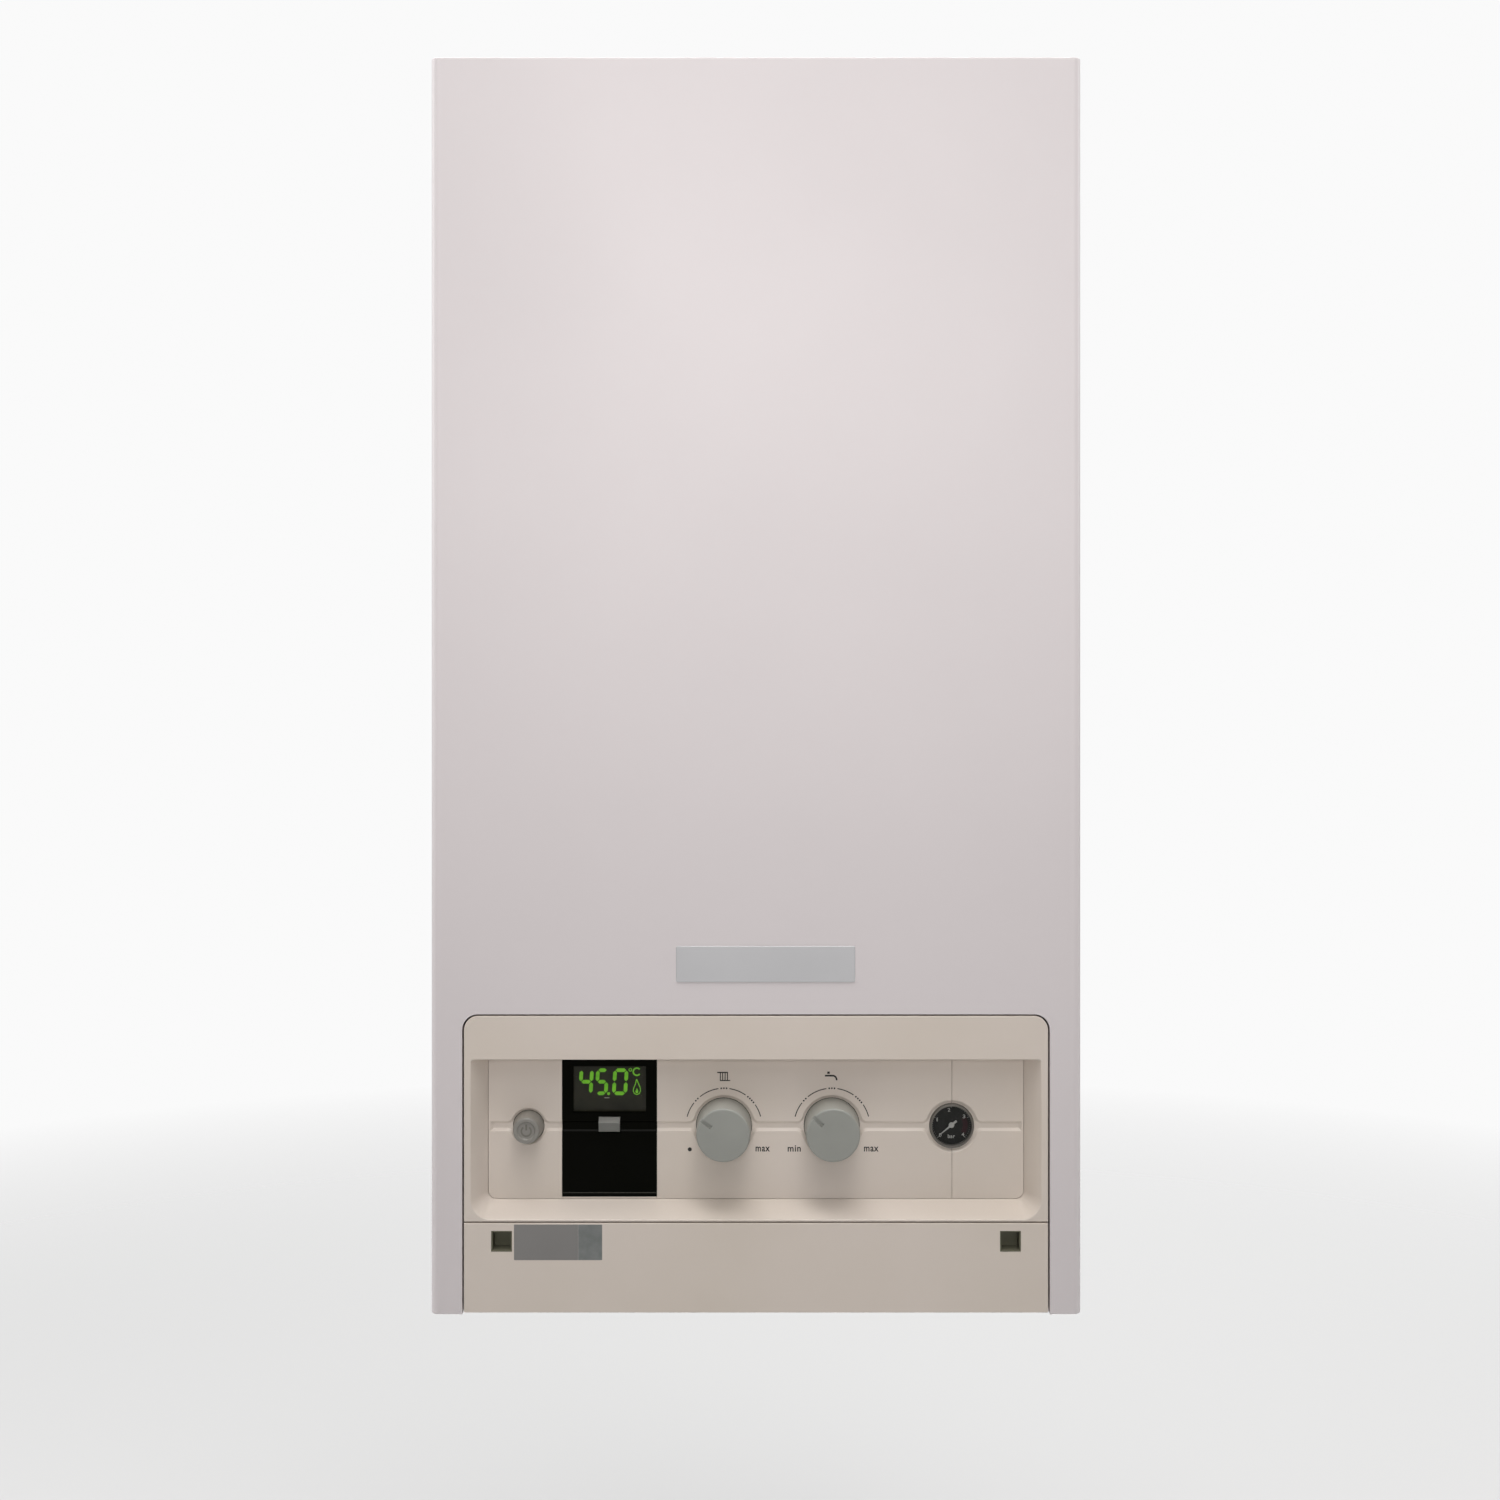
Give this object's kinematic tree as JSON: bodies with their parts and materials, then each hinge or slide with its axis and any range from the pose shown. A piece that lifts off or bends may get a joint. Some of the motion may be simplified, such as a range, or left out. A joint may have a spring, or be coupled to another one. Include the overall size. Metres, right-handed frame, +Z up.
{
  "type": "combi boiler",
  "caption": "Wall-hung condensing combi boiler: painted steel casing, swing-down control unit with display, knobs and pressure gauge, and the full gas, flue, pump and water train inside.",
  "frame": {"origin": "middle of the wall bracket's screw line, on the wall", "axes": "+X to the right seen from the front, +Y into the wall, +Z up"},
  "size_m": [0.44, 0.3585, 0.9285],
  "materials": {
    "casing_enamel": "satin white stove enamel",
    "turned_steel": "zinc plated",
    "zinc_sheet": "zinc-coated sheet",
    "white_plastic": "moulded",
    "cast_aluminium": "as cast",
    "aluminium_sheet": "pressed",
    "black_plastic": "moulded, fine grain",
    "stainless": "bright",
    "ceramic": "glazed ceramic on steel",
    "motor_shell": "black",
    "gas_pipe_steel": "yellow chromate",
    "vessel_paint": "grey",
    "copper": "drawn copper",
    "manifold_plastic": "glass-filled",
    "motor_cap_plastic": "moulded",
    "brass": "turned",
    "red_plastic": "moulded",
    "sensor_plastic": "moulded",
    "pump_motor_shell": "dark grey",
    "siphon_plastic": "moulded",
    "fascia_plastic": "fine grain, warm grey",
    "inlay_plastic": "fine grain, warm grey",
    "window_gloss": "black, polished",
    "screen_glass": "liquid-crystal cell",
    "board_green": "lacquered board",
    "part_plastic": "moulded",
    "gauge_plastic": "moulded",
    "dial_print": "printed",
    "gauge_lens": "clear",
    "knob_plastic": "satin grey",
    "button_plastic": "satin grey",
    "tab_plastic": "satin grey",
    "needle_white": "white"
  },
  "bodies": {
    "frame": {"side_frames": "zinc_sheet", "hinge_pins": "turned_steel", "back_plate": "zinc_sheet", "wall_bracket": "zinc_sheet", "top_plate": "zinc_sheet", "bottom_plate": "zinc_sheet", "flue_collar": "white_plastic", "flue_riser": "white_plastic", "heat_exchanger": "cast_aluminium", "sump": "black_plastic", "burner_cover": "cast_aluminium", "cover_nuts": "turned_steel", "burner": "stainless", "electrodes": "ceramic", "ignition_unit": "black_plastic", "fan_housing": "cast_aluminium", "fan_motor": "motor_shell", "venturi": "cast_aluminium", "intake_silencer": "black_plastic", "gas_valve": "cast_aluminium", "gas_pipe": "gas_pipe_steel", "expansion_vessel": "vessel_paint", "vessel_pipe": "copper", "flow_group": "manifold_plastic", "diverter_motor": "motor_cap_plastic", "relief_valve": "brass", "return_group": "manifold_plastic", "plate_exchanger": "stainless", "flow_sensor": "sensor_plastic", "pump_housing": "manifold_plastic", "pump_motor": "pump_motor_shell", "flow_pipe": "copper", "return_pipe": "copper", "pipe_tails": "brass", "lock_nuts": "brass", "siphon": "siphon_plastic"},
    "casing": {"casing": "casing_enamel", "casing_studs": "turned_steel"},
    "control_unit": {"control_box": "black_plastic", "fascia": "fascia_plastic", "lower_strip": "fascia_plastic", "inlay_plate": "inlay_plastic", "blanking_cover": "inlay_plastic", "display_window": "window_gloss", "display_module": "screen_glass", "circuit_board": "board_green", "board_parts": "part_plastic", "gauge_case": "gauge_plastic", "gauge_dial": "dial_print", "gauge_glass": "gauge_lens"},
    "heating_knob": {"heating_knob": "knob_plastic"},
    "water_knob": {"water_knob": "knob_plastic"},
    "power_button": {"power_button": "button_plastic"},
    "release_tab": {"release_tab": "tab_plastic"},
    "gauge_needle": {"gauge_needle": "needle_white"},
    "fan_impeller": {"fan_impeller": "aluminium_sheet"},
    "pump_impeller": {"pump_impeller": "manifold_plastic"},
    "flow_turbine": {"flow_turbine": "white_plastic"},
    "diverter_stem": {"diverter_stem": "stainless"},
    "relief_knob": {"relief_knob": "red_plastic"}
  },
  "joints": [
    {"name": "casing_pull", "type": "slide", "parent": "frame", "child": "casing", "axis": [0, -1, 0], "range_m": [0, 0.4]},
    {"name": "control_swing", "type": "hinge", "parent": "frame", "child": "control_unit", "pos_m": [0, -0.34, -0.778], "axis": [1, 0, 0], "range_deg": [0, 90]},
    {"name": "heating_turn", "type": "hinge", "parent": "control_unit", "child": "heating_knob", "pos_m": [-0.022, -0.336, -0.6672], "axis": [0, 1, 0], "range_deg": [-68.5, 181.5]},
    {"name": "water_turn", "type": "hinge", "parent": "control_unit", "child": "water_knob", "pos_m": [0.052, -0.336, -0.6672], "axis": [0, 1, 0], "range_deg": [-78, 172]},
    {"name": "power_press", "type": "slide", "parent": "control_unit", "child": "power_button", "axis": [0, 1, 0], "range_m": [0, 0.0025], "stiffness_N_per_m": 300, "springref_m": -0.0005},
    {"name": "tab_slide", "type": "slide", "parent": "control_unit", "child": "release_tab", "axis": [0, 0, -1], "range_m": [0, 0.0015], "stiffness_N_per_m": 300, "springref_m": -0.0005},
    {"name": "needle_turn", "type": "hinge", "parent": "control_unit", "child": "gauge_needle", "pos_m": [0.1343, -0.3331, -0.6672], "axis": [0, 1, 0], "range_deg": [0, 261]},
    {"name": "fan_spin", "type": "hinge", "parent": "frame", "child": "fan_impeller", "pos_m": [0.146, -0.245, -0.108], "axis": [0, 1, 0], "continuous": true},
    {"name": "pump_spin", "type": "hinge", "parent": "frame", "child": "pump_impeller", "pos_m": [0.13, -0.172, -0.62], "axis": [0, 1, 0], "continuous": true},
    {"name": "turbine_spin", "type": "hinge", "parent": "frame", "child": "flow_turbine", "pos_m": [0.065, -0.15, -0.739], "axis": [0, 0, 1], "continuous": true},
    {"name": "diverter_stroke", "type": "slide", "parent": "frame", "child": "diverter_stem", "axis": [0, 0, -1], "range_m": [0, 0.006], "stiffness_N_per_m": 400, "springref_m": -0.004},
    {"name": "relief_turn", "type": "hinge", "parent": "frame", "child": "relief_knob", "pos_m": [-0.186, -0.15, -0.698], "axis": [1, 0, 0], "range_deg": [0, 90]}
  ]
}
